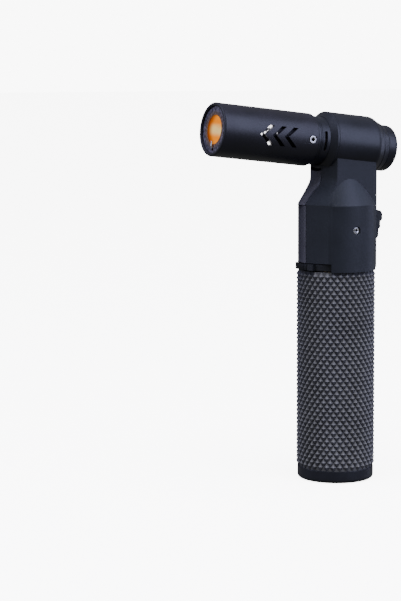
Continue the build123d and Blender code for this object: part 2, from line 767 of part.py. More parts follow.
def barrel_screws():
    screw = rod(barrel_screw_r, barrel_r - 1.0, barrel_r + 0.15)
    screw += rod(barrel_shank_r, barrel_in - 0.85, barrel_r - 1.0)
    screw -= Pos(0, 0, barrel_r - 0.55) * extrude(RegularPolygon(0.85, 6), 2)
    screw = Pos(0, 0, barrel_rear + screw_back) * Rot(0, 90, 0) * screw
    return barrel_frame.location * (screw + mirror(screw, Plane.YZ))


def jet_holder():
    body = rod(collar_r - 1.35, holder_rear, holder_front) - through(nozzle_r + fit)
    for turn in (30, 90, 150, 210, 330):
        body -= Rot(0, 0, turn) * Pos(electrode_drop - 1.2, 0, 0) * through(1.5)
    body -= Pos(0, -electrode_drop, 0) * through(insulator_r + fit)
    return barrel_frame.location * body


def jet_nozzle():
    barb = head_front - 11.3
    body = rod(nipple_r, barb, barb + 4.0) + rod(nozzle_r, holder_rear, holder_front)
    body += rod(1.6, holder_front, holder_front + 1.6)
    body += Pos(0, 0, barb + 3.0) * extrude(RegularPolygon(3.4, 6), holder_rear - barb - 3.0)
    return barrel_frame.location * (body - through(0.4))


def mixing_tube():
    body = tube(mixer_r, mixer_r - 0.8, holder_front, mixer_front)
    body += tube(5.2, mixer_r - 0.8, holder_front, holder_front + 1.2)
    port_z = holder_front + 4.0
    for turn in (0, 90):
        body -= Pos(0, 0, port_z) * Rot(0, 0, turn) * Rot(0, 90, 0) * rod(1.4, -9, 9)
    return barrel_frame.location * body


def burner_head():
    """The cup that spreads the gas into a ring of small ports round a larger one."""
    low = mixer_front - 3.0
    high = mixer_front + 4.0
    cup = rod(flame_r - fit, low, high) - rod(mixer_r + fit, low - 1, mixer_front)
    cup -= rod(flame_r - 1.2, mixer_front - 0.01, high - 1.4)
    cup -= rod(1.6, low, high + 1)
    for turn in range(8):
        cup -= Rot(0, 0, 45 * turn) * Pos(3.5, 0, 0) * rod(0.65, high - 2, high + 1)
    return barrel_frame.location * cup


def flame_tube():
    front = ring_front - ring_t
    return barrel_frame.location * tube(flame_out, flame_r, front - flame_l, front)


def flame_ring():
    plate = tube(barrel_in - fit, flame_r, ring_front - ring_t, ring_front)
    notch = block((-notch_w / 2, notch_w / 2), (-barrel_in * 0.9, -flame_r + 1), (0, mouth))
    return barrel_frame.location * (plate - notch)


def heat_shield():
    low = barrel_rear + spigot_l
    return barrel_frame.location * tube(shield_r, shield_r - shield_wall, low, ring_front - ring_t)


def electrode_insulator():
    sleeve = tube(insulator_r, electrode_r + fit, electrode_rear, insulator_front)
    return barrel_frame.location * Pos(0, -electrode_drop, 0) * sleeve


def electrode():
    tip = ring_front + 0.45
    points = [on_axis(electrode_rear, -electrode_drop), on_axis(tip, -electrode_drop),
              on_axis(tip, -flame_r + 1.2)]
    return routed(points, 2 * electrode_r, electrode_r)


# ---------------------------------------------------------------- hose and lead
def gas_hose():
    start_z = flange_z + 1.6
    back_x = piezo_start[0] - 17.9
    points = [(0, 0, start_z), (0, 0, start_z + 7.0), (back_x, 0, start_z + 12.8),
              (back_x - 0.1, 0, axis_z - 10.0), on_axis(head_front - 18.6), on_axis(head_front - 10.7)]
    return routed(points, [2.8, 2.8, 3.4, 3.4], hose_r, nipple_r + 0.03)


def spark_lead():
    terminal = plunger_out + piezo_l
    rear = piezo_frame.from_local_coords((terminal, 0, 0))
    turn = piezo_frame.from_local_coords((terminal + 2.0, 0, 0))
    points = [rear, turn, (rear.X - 2.7, 4.4, rear.Z + 3.8), (rear.X - 2.2, 3.4, axis_z - 10.6),
              on_axis(-3.0, -7.6, 2.6), on_axis(4.0, -electrode_drop),
              on_axis(electrode_rear, -electrode_drop)]
    return routed(points, [0.9, 1.2, 2.0, 2.2, 6.0], lead_r)


# ---------------------------------------------------------------- build
shell = housing_shell()
parts = {
    "housing_left": housing_half(shell, 1),
    "housing_right": housing_half(shell, -1),
}
for make in (base_cap, grip_sleeve, fuel_tank, fill_valve_body, fill_valve_seal, fill_valve_plug,
             fill_valve_stem, fill_valve_spring, tank_head, tank_oring, outlet_valve_body, outlet_valve_plug,
             outlet_valve_seat, outlet_valve_stem, outlet_valve_spring, vapour_wick, valve_bracket,
             flame_adjuster, adjuster_clip, housing_screws, front_cover, back_spine, trigger, trigger_pin,
             gas_lever, gas_lever_pin, piezo_body, piezo_plunger, lock_slide, head_body, tail_cap, air_collar,
             barrel, barrel_screws, jet_holder, jet_nozzle, mixing_tube, burner_head, flame_tube, flame_ring,
             heat_shield, electrode_insulator, electrode, gas_hose, spark_lead):
    parts[make.__name__] = make()

os.makedirs("parts", exist_ok=True)
for name, solid in parts.items():
    export_step(solid, f"parts/{name}.step")
    print(name, round(solid.volume, 1))
print("trigger travel at the spark unit", round(plunger_travel, 3), "pivot", pivot_x, pivot_z)
print("lever pivot", lever_x, lever_z, "push direction", round(push_x, 4), round(push_z, 4))
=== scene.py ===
"""Visual model of a butane torch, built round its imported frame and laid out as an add-on."""

import json
import math

import bpy
from mathutils import Matrix, Vector


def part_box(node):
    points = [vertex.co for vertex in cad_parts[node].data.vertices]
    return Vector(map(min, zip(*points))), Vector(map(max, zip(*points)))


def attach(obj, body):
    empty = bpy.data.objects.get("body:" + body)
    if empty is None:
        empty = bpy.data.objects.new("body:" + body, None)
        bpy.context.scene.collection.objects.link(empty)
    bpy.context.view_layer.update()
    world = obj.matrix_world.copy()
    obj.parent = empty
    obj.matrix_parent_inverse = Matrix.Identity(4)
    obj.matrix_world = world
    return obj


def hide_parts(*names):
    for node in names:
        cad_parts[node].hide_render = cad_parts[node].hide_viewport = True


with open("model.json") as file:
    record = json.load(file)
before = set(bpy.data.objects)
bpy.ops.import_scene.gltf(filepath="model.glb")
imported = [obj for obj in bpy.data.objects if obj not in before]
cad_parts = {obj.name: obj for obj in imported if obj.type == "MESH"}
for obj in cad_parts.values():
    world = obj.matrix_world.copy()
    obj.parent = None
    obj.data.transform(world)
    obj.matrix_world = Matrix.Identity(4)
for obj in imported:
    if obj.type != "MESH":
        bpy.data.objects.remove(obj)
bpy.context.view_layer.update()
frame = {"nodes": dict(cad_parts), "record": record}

bl_info = {
    "name": "Butane torch",
    "version": (1, 0, 0),
    "blender": (4, 5, 0),
    "location": "View3D > Sidebar > Torch",
    "description": "Builds the looks of a butane torch round its CAD frame",
    "category": "Object",
}

MM = 0.001
EDGE_ANGLE = math.radians(28)      # edges sharper than this are rounded
SMOOTH_ANGLE = math.radians(32)    # faces that meet flatter than this shade as one
KNURL_ANGLE = math.radians(12)     # the same for the knurl, so that its facets stay crisp
FLAT_ANGLE = math.radians(0.4)     # neighbouring CAD facets flatter than this are one face
MERGE = 0.002 * MM                 # CAD corners closer than this are one corner
TOUCH = 0.01 * MM                  # a place counts as met within this


# ---------------------------------------------------------------- small helpers
def linear(code):
    """An sRGB hex colour as linear red, green, blue and alpha."""
    parts = [int(code[place:place + 2], 16) / 255 for place in (1, 3, 5)]
    return [part / 12.92 if part <= 0.04045 else ((part + 0.055) / 1.055) ** 2.4 for part in parts] + [1.0]


def middle(node):
    """The centre of a CAD node's box."""
    low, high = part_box(node)
    return (Vector(low) + Vector(high)) / 2


def only(piece):
    """Leaves just this piece selected and active."""
    bpy.ops.object.select_all(action="DESELECT")
    piece.select_set(True)
    bpy.context.view_layer.objects.active = piece


def pick(piece, kind, rule):
    """In edit mode, selects just the vertices, edges or faces that a rule accepts."""
    bpy.ops.mesh.select_mode(type=kind)
    bpy.ops.mesh.select_all(action="DESELECT")
    bpy.ops.object.mode_set(mode="OBJECT")
    parts = {"VERT": piece.data.vertices, "EDGE": piece.data.edges, "FACE": piece.data.polygons}[kind]
    for part in parts:
        part.select = rule(part)
    bpy.ops.object.mode_set(mode="EDIT")


def finish_edges(piece, width):
    """Rounds a piece's sharp edges with an applied bevel, and shades the rest smooth."""
    only(piece)
    bevel = piece.modifiers.new("Edges", "BEVEL")
    bevel.width = width
    bevel.segments = 2
    bevel.limit_method = "ANGLE"
    bevel.angle_limit = EDGE_ANGLE
    bevel.use_clamp_overlap = True
    bpy.ops.object.modifier_apply(modifier=bevel.name)
    bpy.ops.object.shade_smooth_by_angle(angle=SMOOTH_ANGLE)
    weighted = piece.modifiers.new("Even shading", "WEIGHTED_NORMAL")
    weighted.keep_sharp = True
    bpy.ops.object.modifier_apply(modifier=weighted.name)


def dress(piece, body, slot, material, *nodes):
    """Rides a piece on its body, gives it its finish and hides the CAD nodes it stands for."""
    piece.data.materials.clear()
    piece.data.materials.append(material)
    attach(piece, body)
    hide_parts(*nodes)


def rounded_copy(node, width, soften=None):
    """A merged copy of a CAD node with its sharp edges rounded."""
    piece = bpy.data.objects.new(f"{node}_finished", frame["nodes"][node].data.copy())
    bpy.context.scene.collection.objects.link(piece)
    only(piece)
    bpy.ops.object.mode_set(mode="EDIT")
    bpy.ops.mesh.select_all(action="SELECT")
    bpy.ops.mesh.remove_doubles(threshold=MERGE)
    bpy.ops.mesh.dissolve_limited(angle_limit=FLAT_ANGLE)
    if soften:
        soften(piece)
    bpy.ops.object.mode_set(mode="OBJECT")
    finish_edges(piece, width)
    return piece


# ---------------------------------------------------------------- materials
def add(tree, kind, inputs=None, **settings):
    """Adds a shader node, with its settings, its input values and the links into it."""
    made = tree.nodes.new(kind)
    for name, value in settings.items():
        setattr(made, name, value)
    for socket, value in (inputs or {}).items():
        if isinstance(value, bpy.types.NodeSocket):
            tree.links.new(value, made.inputs[socket])
        else:
            made.inputs[socket].default_value = value
    return made


def surface(name, inputs):
    """A new material and its tree, with a shader that holds the constant values."""
    material = bpy.data.materials.new(name)
    material.use_nodes = True
    tree = material.node_tree
    tree.nodes.clear()
    shader = add(tree, "ShaderNodeBsdfPrincipled", inputs)
    add(tree, "ShaderNodeOutputMaterial", {"Surface": shader.outputs["BSDF"]})
    place = add(tree, "ShaderNodeTexCoord").outputs["Object"]
    return material, tree, shader, place


def per(size_mm):
    """The texture scale whose features are about this many millimetres across."""
    return 1 / (size_mm * MM)


def sprayed(name, shades, tooth_mm, tooth_depth, gloss, specular):
    """A sprayed or anodised skin: cloudy colour, a fine tooth, and sheen that varies with handling."""
    material, tree, shader, place = surface(name, {"Specular IOR Level": specular})
    clouds = add(tree, "ShaderNodeTexNoise", {"Vector": place, "Scale": per(11), "Detail": 4.0,
                                              "Roughness": 0.6})
    tooth = add(tree, "ShaderNodeTexNoise", {"Vector": place, "Scale": per(tooth_mm), "Detail": 2.0})
    spots = add(tree, "ShaderNodeMapRange", {"Value": tooth.outputs["Fac"], "From Min": 0.62,
                                             "From Max": 0.78})
    cloudy = add(tree, "ShaderNodeMapRange", {"Value": clouds.outputs["Fac"], "From Min": 0.3,
                                              "From Max": 0.7})
    base = add(tree, "ShaderNodeMix", {0: cloudy.outputs["Result"], 6: shades[0], 7: shades[1]},
               data_type="RGBA")
    speck = add(tree, "ShaderNodeMath", {0: spots.outputs["Result"], 1: 0.3}, operation="MULTIPLY")
    colour = add(tree, "ShaderNodeMix", {0: speck.outputs["Value"], 6: base.outputs[2], 7: shades[2]},
                 data_type="RGBA")
    sheen = add(tree, "ShaderNodeMapRange", {"Value": clouds.outputs["Fac"], "From Min": 0.3, "From Max": 0.7,
                                             "To Min": gloss[0], "To Max": gloss[1]})
    bump = add(tree, "ShaderNodeBump", {"Height": tooth.outputs["Fac"], "Distance": tooth_depth * MM,
                                        "Strength": 0.6})
    tree.links.new(colour.outputs[2], shader.inputs["Base Color"])
    tree.links.new(sheen.outputs["Result"], shader.inputs["Roughness"])
    tree.links.new(bump.outputs["Normal"], shader.inputs["Normal"])
    return material


def anodised_aluminium():
    # Black-anodised aluminium, knurled: satin, and a touch lighter on the crests, part rubbed wear and part a
    # painted highlight that stands in for light on the diamonds' tips.
    colours = bpy.context.scene.torch_colours
    shades = colours.grip, colours.grip_light, linear("#5a5a5f")
    material = sprayed("Black-anodised aluminium", shades, 0.25, 0.01, (0.34, 0.46), 0.12)
    tree = material.node_tree
    shader = next(n for n in tree.nodes if n.type == "BSDF_PRINCIPLED")
    place = next(n for n in tree.nodes if n.type == "TEX_COORD").outputs["Object"]
    flat = add(tree, "ShaderNodeVectorMath", {0: place, 1: (1.0, 1.0, 0.0)}, operation="MULTIPLY")
    radius = add(tree, "ShaderNodeVectorMath", {0: flat.outputs["Vector"]}, operation="LENGTH")
    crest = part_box("grip_sleeve")[1][0]
    # crests lighter and valleys darker by radius: rubbed wear, and a painted highlight on the tips
    rub_and_highlight_depth, rub_and_highlight_share = 1.0 * MM, 0.5
    rub_and_highlight = add(tree, "ShaderNodeMapRange", {"Value": radius.outputs["Value"],
                                              "From Min": crest - rub_and_highlight_depth,
                                              "From Max": crest, "To Max": rub_and_highlight_share})
    colour_in = shader.inputs["Base Color"].links[0].from_socket
    colour = add(tree, "ShaderNodeMix", {0: rub_and_highlight.outputs["Result"], 6: colour_in, 7: colours.grip_crest_rub_and_highlight},
                 data_type="RGBA")
    tree.links.new(colour.outputs[2], shader.inputs["Base Color"])
    return material


def soft_touch_lacquer():
    # Soft-touch lacquer on moulded ABS: a fine matt tooth that spreads highlights wide.
    colours = bpy.context.scene.torch_colours
    shades = colours.housing, colours.housing_light, linear("#2a2c34")
    return sprayed("Soft-touch lacquer", shades, 0.3, 0.012, (0.47, 0.57), 0.36)


def satin_enamel():
    # Satin enamel on turned steel: smoother than the housing, with a tighter, bluer highlight.
    colours = bpy.context.scene.torch_colours
    shades = colours.head, colours.head_light, linear("#23242b")
    return sprayed("Satin enamel", shades, 0.4, 0.006, (0.33, 0.42), 0.36)


def heatproof_enamel():
    # Heatproof enamel on the barrel: like the head's, a shade warmer from use.
    colours = bpy.context.scene.torch_colours
    shades = colours.barrel, colours.barrel_light, linear("#26242c")
    return sprayed("Heatproof enamel", shades, 0.4, 0.006, (0.35, 0.45), 0.38)


def moulded_nylon():
    # Glass-filled nylon, spark-textured mould: dark warm grey, with a visible grain and a dull sheen.
    colours = bpy.context.scene.torch_colours
    shades = colours.trigger, colours.trigger_light, linear("#4d4b56")
    return sprayed("Moulded nylon", shades, 0.35, 0.02, (0.5, 0.6), 0.22)


def moulded_abs():
    # Textured black ABS: finer and blacker than the trigger's nylon.
    colours = bpy.context.scene.torch_colours
    shades = colours.control, colours.control_light, linear("#222329")
    return sprayed("Moulded ABS", shades, 0.3, 0.015, (0.42, 0.55), 0.38)


def worked_metal(name, dark, light, line_mm, stretch, gloss, aniso=0.0):
    """Bare metal with tool marks: noise stretched along one way, in the colour, the sheen and the bump."""
    material, tree, shader, place = surface(name, {"Metallic": 1.0, "Anisotropic": aniso})
    along = add(tree, "ShaderNodeMapping", {"Vector": place, "Scale": stretch})
    lines = add(tree, "ShaderNodeTexNoise", {"Vector": along.outputs["Vector"], "Scale": per(line_mm),
                                             "Detail": 3.0})
    patches = add(tree, "ShaderNodeTexNoise", {"Vector": place, "Scale": per(4), "Detail": 3.0})
    mixed = add(tree, "ShaderNodeMath", {0: lines.outputs["Fac"], 1: patches.outputs["Fac"]}, operation="ADD")
    share = add(tree, "ShaderNodeMapRange", {"Value": mixed.outputs["Value"], "From Min": 0.7,
                                             "From Max": 1.3})
    colour = add(tree, "ShaderNodeMix", {0: share.outputs["Result"], 6: linear(dark), 7: linear(light)},
                 data_type="RGBA")
    sheen = add(tree, "ShaderNodeMapRange", {"Value": mixed.outputs["Value"], "From Min": 0.7,
                                             "From Max": 1.3,
                                             "To Min": gloss[0], "To Max": gloss[1]})
    bump = add(tree, "ShaderNodeBump", {"Height": lines.outputs["Fac"], "Distance": 0.01 * MM,
                                        "Strength": 0.5})
    tree.links.new(colour.outputs[2], shader.inputs["Base Color"])
    tree.links.new(sheen.outputs["Result"], shader.inputs["Roughness"])
    tree.links.new(bump.outputs["Normal"], shader.inputs["Normal"])
    return material


def drawn_aluminium():
    # Drawn aluminium: pale, with die lines up its length.
    return worked_metal("Drawn aluminium", "#a9abad", "#cfd0d1", 0.3, (1.0, 1.0, 0.05), (0.3, 0.45), 0.3)


def turned_brass():
    # Turned brass: warm yellow, with fine lathe rings.
    return worked_metal("Turned brass", "#b08d45", "#d9b868", 0.15, (0.1, 0.1, 1.0), (0.18, 0.32))


def pressed_steel():
    # Zinc-plated pressed steel: grey and slightly cloudy.
    return worked_metal("Zinc-plated steel", "#8b8d90", "#b9babc", 0.4, (1.0, 1.0, 1.0), (0.28, 0.42))


def polished_steel():
    # Polished stainless steel: nearly a mirror, so that a screw head shows as a bright disc.
    return worked_metal("Polished stainless steel", "#d2d2d4", "#f1f1f2", 0.2, (1.0, 1.0, 1.0), (0.12, 0.24))


def barrel_place(tree, place):
    """How far a point lies along the barrel's axis, and how far out from it, in metres."""
    start, way = barrel_axis()
    offset = add(tree, "ShaderNodeVectorMath", {0: place, 1: start}, operation="SUBTRACT").outputs["Vector"]
    along = add(tree, "ShaderNodeVectorMath", {0: offset, 1: way}, operation="DOT_PRODUCT").outputs["Value"]
    across = add(tree, "ShaderNodeVectorMath", {0: offset, 1: way},
                 operation="CROSS_PRODUCT").outputs["Vector"]
    out = add(tree, "ShaderNodeVectorMath", {0: across}, operation="LENGTH").outputs["Value"]
    return along, out


def heat_tinted_steel():
    # Turned steel that the flame has tinted: lathe rings under mottled purple, grey and straw.
    material, tree, shader, place = surface("Heat-tinted steel", {"Metallic": 1.0})
    out = barrel_place(tree, place)[1]
    rings = add(tree, "ShaderNodeMath", {0: out, 1: per(0.3)}, operation="MULTIPLY")
    grooves = add(tree, "ShaderNodeTexNoise", {"W": rings.outputs["Value"], "Scale": 1.0, "Detail": 2.0},
                  noise_dimensions="1D")
    mottle = add(tree, "ShaderNodeTexNoise", {"Vector": place, "Scale": per(1.3), "Detail": 5.0,
                                              "Roughness": 0.65})
    share = add(tree, "ShaderNodeMapRange", {"Value": mottle.outputs["Fac"], "From Min": 0.36,
                                             "From Max": 0.64})
    tint = add(tree, "ShaderNodeMix", {0: share.outputs["Result"], 6: linear("#4b4856"),
                                       7: linear("#8d8794")},
               data_type="RGBA")
    low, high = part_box("flame_tube")
    bore = (high[1] - low[1]) / 2
    halo_edge, halo_full, halo_share = bore + 1.6 * MM, bore - 0.3 * MM, 0.75
    hot = add(tree, "ShaderNodeMapRange", {"Value": out, "From Min": halo_edge, "From Max": halo_full,
                                           "To Max": halo_share})
    colour = add(tree, "ShaderNodeMix", {0: hot.outputs["Result"], 6: tint.outputs[2], 7: linear("#9a7a5c")},
                 data_type="RGBA")
    sheen = add(tree, "ShaderNodeMapRange", {"Value": mottle.outputs["Fac"], "From Min": 0.3, "From Max": 0.7,
                                             "To Min": 0.32, "To Max": 0.55})
    bump = add(tree, "ShaderNodeBump", {"Height": grooves.outputs["Fac"], "Distance": 0.02 * MM,
                                        "Strength": 0.6})
    tree.links.new(colour.outputs[2], shader.inputs["Base Color"])
    tree.links.new(sheen.outputs["Result"], shader.inputs["Roughness"])
    tree.links.new(bump.outputs["Normal"], shader.inputs["Normal"])
    return material


def sooty_steel():
    # Steel liner, blued and sooted by the burner: nearly black. A few spots under the front vents
    # carry a painted highlight: near-white colour and emission that stand in for reflections seen through the
    # vents.
    material, tree, shader, place = surface("Sooty steel", {"Metallic": 0.6, "Emission Strength": 3.2})
    along = barrel_place(tree, place)[0]
    painted_highlight_middle = barrel_reach("barrel")[0] + 25.0 * MM
    band_edge, band_full = 5.6 * MM, 4.4 * MM
    soot = add(tree, "ShaderNodeTexNoise", {"Vector": place, "Scale": per(2.5), "Detail": 4.0})
    base = add(tree, "ShaderNodeMix", {0: soot.outputs["Fac"], 6: linear("#08080a"), 7: linear("#1b1b20")},
               data_type="RGBA")
    spots = add(tree, "ShaderNodeTexVoronoi", {"Vector": place, "Scale": per(2.1)})
    highlight_spot = add(tree, "ShaderNodeMapRange", {"Value": spots.outputs["Distance"], "From Min": 0.47,
                                            "From Max": 0.36})
    near = add(tree, "ShaderNodeMath", {0: along, 1: painted_highlight_middle}, operation="SUBTRACT")
    off = add(tree, "ShaderNodeMath", {0: near.outputs["Value"]}, operation="ABSOLUTE")
    band = add(tree, "ShaderNodeMapRange", {"Value": off.outputs["Value"], "From Min": band_edge,
                                            "From Max": band_full})
    # spots inside the band get the painted highlight, in colour and in emission
    painted_highlight = add(tree, "ShaderNodeMath", {0: highlight_spot.outputs["Result"], 1: band.outputs["Result"]},
                operation="MULTIPLY")
    colour = add(tree, "ShaderNodeMix", {0: painted_highlight.outputs["Value"], 6: base.outputs[2], 7: linear("#e9e9ee")},
                 data_type="RGBA")
    highlight_glow = add(tree, "ShaderNodeMix", {0: painted_highlight.outputs["Value"], 6: linear("#000000"),
                                        7: linear("#f3f1f4")},
                data_type="RGBA")
    sheen = add(tree, "ShaderNodeMapRange", {"Value": soot.outputs["Fac"], "To Min": 0.45, "To Max": 0.7})
    bump = add(tree, "ShaderNodeBump", {"Height": soot.outputs["Fac"], "Distance": 0.03 * MM})
    tree.links.new(colour.outputs[2], shader.inputs["Base Color"])
    tree.links.new(highlight_glow.outputs[2], shader.inputs["Emission Color"])
    tree.links.new(sheen.outputs["Result"], shader.inputs["Roughness"])
    tree.links.new(bump.outputs["Normal"], shader.inputs["Normal"])
    return material


def shadowed_steel():
    # The same steel deep in a screw's socket, painted near-black as shade in the recess.
    return worked_metal("Steel in painted shade", "#060607", "#141416", 0.3, (1.0, 1.0, 1.0), (0.5, 0.7))


def glowing_brass():
    # Burner brass with a painted glow standing in for the lit flame: orange above and below, and pale
    # yellow across the middle; the glow dims deeper in, as painted shade.
    colours = bpy.context.scene.torch_colours
    glow_shade_depth, waver_reach = 2.5 * MM, 1.2 * MM
    warm_edge, warm_full = 3.4 * MM, 0.6 * MM
    material, tree, shader, place = surface("Brass with painted glow", {"Metallic": 1.0, "Roughness": 0.4,
                                                                  "Emission Strength": 0.75})
    along = barrel_place(tree, place)[0]
    start, way = barrel_axis()
    front = barrel_reach("flame_tube")[1]
    # painted shade: the glow darkens deeper in the mouth
    depth = add(tree, "ShaderNodeMapRange", {"Value": along, "From Min": front,
                                             "From Max": front - glow_shade_depth},
                interpolation_type="SMOOTHSTEP")
    offset = add(tree, "ShaderNodeVectorMath", {0: place, 1: start}, operation="SUBTRACT").outputs["Vector"]
    upward = way.cross(Vector((0, 1, 0))) * -1
    height = add(tree, "ShaderNodeVectorMath", {0: offset, 1: upward},
                 operation="DOT_PRODUCT").outputs["Value"]
    flicker = add(tree, "ShaderNodeTexNoise", {"Vector": place, "Scale": per(3.5), "Detail": 2.0})
    waver = add(tree, "ShaderNodeMapRange", {"Value": flicker.outputs["Fac"], "To Min": -waver_reach,
                                             "To Max": waver_reach})
    level = add(tree, "ShaderNodeMath", {0: height, 1: waver.outputs["Result"]}, operation="ADD")
    off = add(tree, "ShaderNodeMath", {0: level.outputs["Value"]}, operation="ABSOLUTE")
    # the painted glow is paler across the middle
    hot = add(tree, "ShaderNodeMapRange", {"Value": off.outputs["Value"], "From Min": warm_edge,
                                           "From Max": warm_full}, interpolation_type="SMOOTHSTEP")
    warm = add(tree, "ShaderNodeMix", {0: hot.outputs["Result"], 6: colours.glow, 7: colours.glow_middle},
               data_type="RGBA")
    glow = add(tree, "ShaderNodeMix", {0: depth.outputs["Result"], 6: linear("#5a2a06"), 7: warm.outputs[2]},
               data_type="RGBA")
    metal = add(tree, "ShaderNodeMix", {0: flicker.outputs["Fac"], 6: linear("#8a6230"),
                                        7: linear("#b98a4a")},
                data_type="RGBA")
    bump = add(tree, "ShaderNodeBump", {"Height": flicker.outputs["Fac"], "Distance": 0.05 * MM,
                                        "Strength": 0.4})
    tree.links.new(metal.outputs[2], shader.inputs["Base Color"])
    tree.links.new(glow.outputs[2], shader.inputs["Emission Color"])
    tree.links.new(bump.outputs["Normal"], shader.inputs["Normal"])
    return material


def plain_matter(name, dark, light, grain_mm, depth_mm, gloss, extras=None):
    """Rubber, ceramic, felt or insulation: two close shades, a grain of a real size and its own sheen."""
    material, tree, shader, place = surface(name, extras or {})
    grain = add(tree, "ShaderNodeTexNoise", {"Vector": place, "Scale": per(grain_mm), "Detail": 4.0})
    colour = add(tree, "ShaderNodeMix", {0: grain.outputs["Fac"], 6: linear(dark), 7: linear(light)},
                 data_type="RGBA")
    sheen = add(tree, "ShaderNodeMapRange", {"Value": grain.outputs["Fac"], "To Min": gloss[0],
                                             "To Max": gloss[1]})
    bump = add(tree, "ShaderNodeBump", {"Height": grain.outputs["Fac"], "Distance": depth_mm * MM})
    tree.links.new(colour.outputs[2], shader.inputs["Base Color"])
    tree.links.new(sheen.outputs["Result"], shader.inputs["Roughness"])
    tree.links.new(bump.outputs["Normal"], shader.inputs["Normal"])
    return material


def nitrile_rubber():
    # Moulded nitrile rubber: dull black, with a slight bloom.
    return plain_matter("Nitrile rubber", "#0b0b0c", "#191919", 0.6, 0.01, (0.5, 0.65))


def glazed_alumina():
    # Glazed alumina: warm white, smooth and glossy.
    return plain_matter("Glazed alumina", "#dcd6c8", "#efeadf", 1.5, 0.004, (0.15, 0.25))


def nylon_hose():
    # Extruded nylon hose: grey-brown, with a waxy sheen.
    return plain_matter("Extruded nylon hose", "#2c2a28", "#3b3835", 0.8, 0.006, (0.35, 0.45))


def silicone_lead():
    # Silicone insulation: dark red and soft-looking.
    return plain_matter("Silicone insulation", "#6d1210", "#8c1c17", 0.7, 0.008, (0.4, 0.5))


def felt_wick():
    # Needled felt: off-white fibres with no gloss.
    return plain_matter("Needled felt", "#a8a294", "#d8d3c6", 0.25, 0.08, (0.9, 1.0), {"Sheen Weight": 0.3})


FINISHES = {
    "grip": anodised_aluminium, "housing": soft_touch_lacquer, "head": satin_enamel,
            "barrel": heatproof_enamel,
    "trigger": moulded_nylon, "black_plastic": moulded_abs, "adjuster": moulded_abs, "tank": drawn_aluminium,
    "brass": turned_brass, "burner_brass": glowing_brass, "steel": pressed_steel,
    "bright_steel": polished_steel, "rubber": nitrile_rubber, "ceramic": glazed_alumina, "hose": nylon_hose,
    "lead": silicone_lead, "wick": felt_wick, "ring": heat_tinted_steel, "soot": sooty_steel,
    "recess": shadowed_steel,
}
made_finishes = {}


def finish(kind):
    """The material of this kind, made the first time that it is asked for."""
    if kind not in made_finishes:
        made_finishes[kind] = FINISHES[kind]()
    return made_finishes[kind]


# ---------------------------------------------------------------- places worked out from the frame
def barrel_axis():
    """A point on the barrel's axis above the grip, and the way the axis points."""
    shield, flame = middle("heat_shield"), middle("flame_tube")
    way = (flame - shield).normalized()
    return shield - way * (shield.x / way.x), way


def barrel_reach(node):
    """Where a node starts and ends along the barrel's axis."""
    start, way = barrel_axis()
    steps = [(vertex.co - start).dot(way) for vertex in frame["nodes"][node].data.vertices]
    return min(steps), max(steps)


# ---------------------------------------------------------------- pieces
def make_grip(sizes):
    """The grip: a tube whose outside is cut into rows of four-sided diamond points."""
    low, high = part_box("grip_sleeve")
    crest = high[0]
    root = crest - sizes.knurl_depth
    bore = crest - sizes.grip_wall
    rim = 0.1 * MM    # corners nearer the bore than this belong to the inside
    columns = 2 * round(math.tau * crest / sizes.knurl_width)
    rows = 2 * round((high[2] - low[2]) / sizes.knurl_height)
    step = (high[2] - low[2]) / rows
    bpy.ops.object.select_all(action="DESELECT")
    bpy.ops.mesh.primitive_cylinder_add(vertices=columns, radius=root, depth=high[2] - low[2],
                                        end_fill_type="NOTHING", location=(0, 0, (low[2] + high[2]) / 2))
    piece = bpy.context.active_object
    piece.name = "knurled_grip"
    bpy.ops.object.transform_apply(location=True)
    bpy.ops.object.mode_set(mode="EDIT")
    corners = piece.data.vertices

    def upright(edge):
        a, b = (corners[index].co for index in edge.vertices)
        return abs(a.z - b.z) > step

    def point(vertex):
        row = round((vertex.co.z - low[2]) / step)
        column = round(math.atan2(vertex.co.y, vertex.co.x) / (math.tau / columns))
        return 0 < row < rows and (row + column) % 2 == 0

    pick(piece, "EDGE", upright)
    bpy.ops.mesh.subdivide(number_cuts=rows - 1)
    pick(piece, "VERT", point)
    bpy.ops.transform.resize(value=(crest / root, crest / root, 1), center_override=(0, 0, 0))
    bpy.ops.mesh.select_mode(type="FACE")
    bpy.ops.mesh.select_all(action="SELECT")
    bpy.ops.mesh.quads_convert_to_tris(quad_method="SHORTEST_DIAGONAL")
    pick(piece, "VERT", lambda v: math.hypot(v.co.x, v.co.y) > crest - TOUCH)
    bpy.ops.mesh.bevel(affect="VERTICES", offset=sizes.knurl_flat)
    for height in (low[2], high[2]):
        pick(piece, "VERT", lambda v: abs(v.co.z - height) < TOUCH and v.co.xy.length > bore + rim)
        bpy.ops.mesh.select_mode(type="EDGE")
        bpy.ops.mesh.extrude_region_move(TRANSFORM_OT_translate={"value": (0, 0, 0)})
        bpy.ops.transform.resize(value=(bore / root, bore / root, 1), center_override=(0, 0, 0))
    pick(piece, "VERT", lambda v: v.co.xy.length < bore + TOUCH)
    bpy.ops.mesh.select_mode(type="EDGE")
    bpy.ops.mesh.bridge_edge_loops()
    bpy.ops.mesh.select_all(action="SELECT")
    bpy.ops.mesh.normals_make_consistent(inside=False)
    bpy.ops.object.mode_set(mode="OBJECT")
    only(piece)
    bpy.ops.object.shade_smooth_by_angle(angle=KNURL_ANGLE)
    dress(piece, "torch", "grip", finish("grip"), "grip_sleeve")


def make_rounded(rows, width):
    """Pieces whose form comes from the frame, with their sharp edges rounded."""
    for node, body, slot, kind in rows:
        soften = soften_facet if node in ("housing_left", "housing_right") else None
        piece = rounded_copy(node, width, soften)
        dress(piece, body, slot, finish(kind), node)


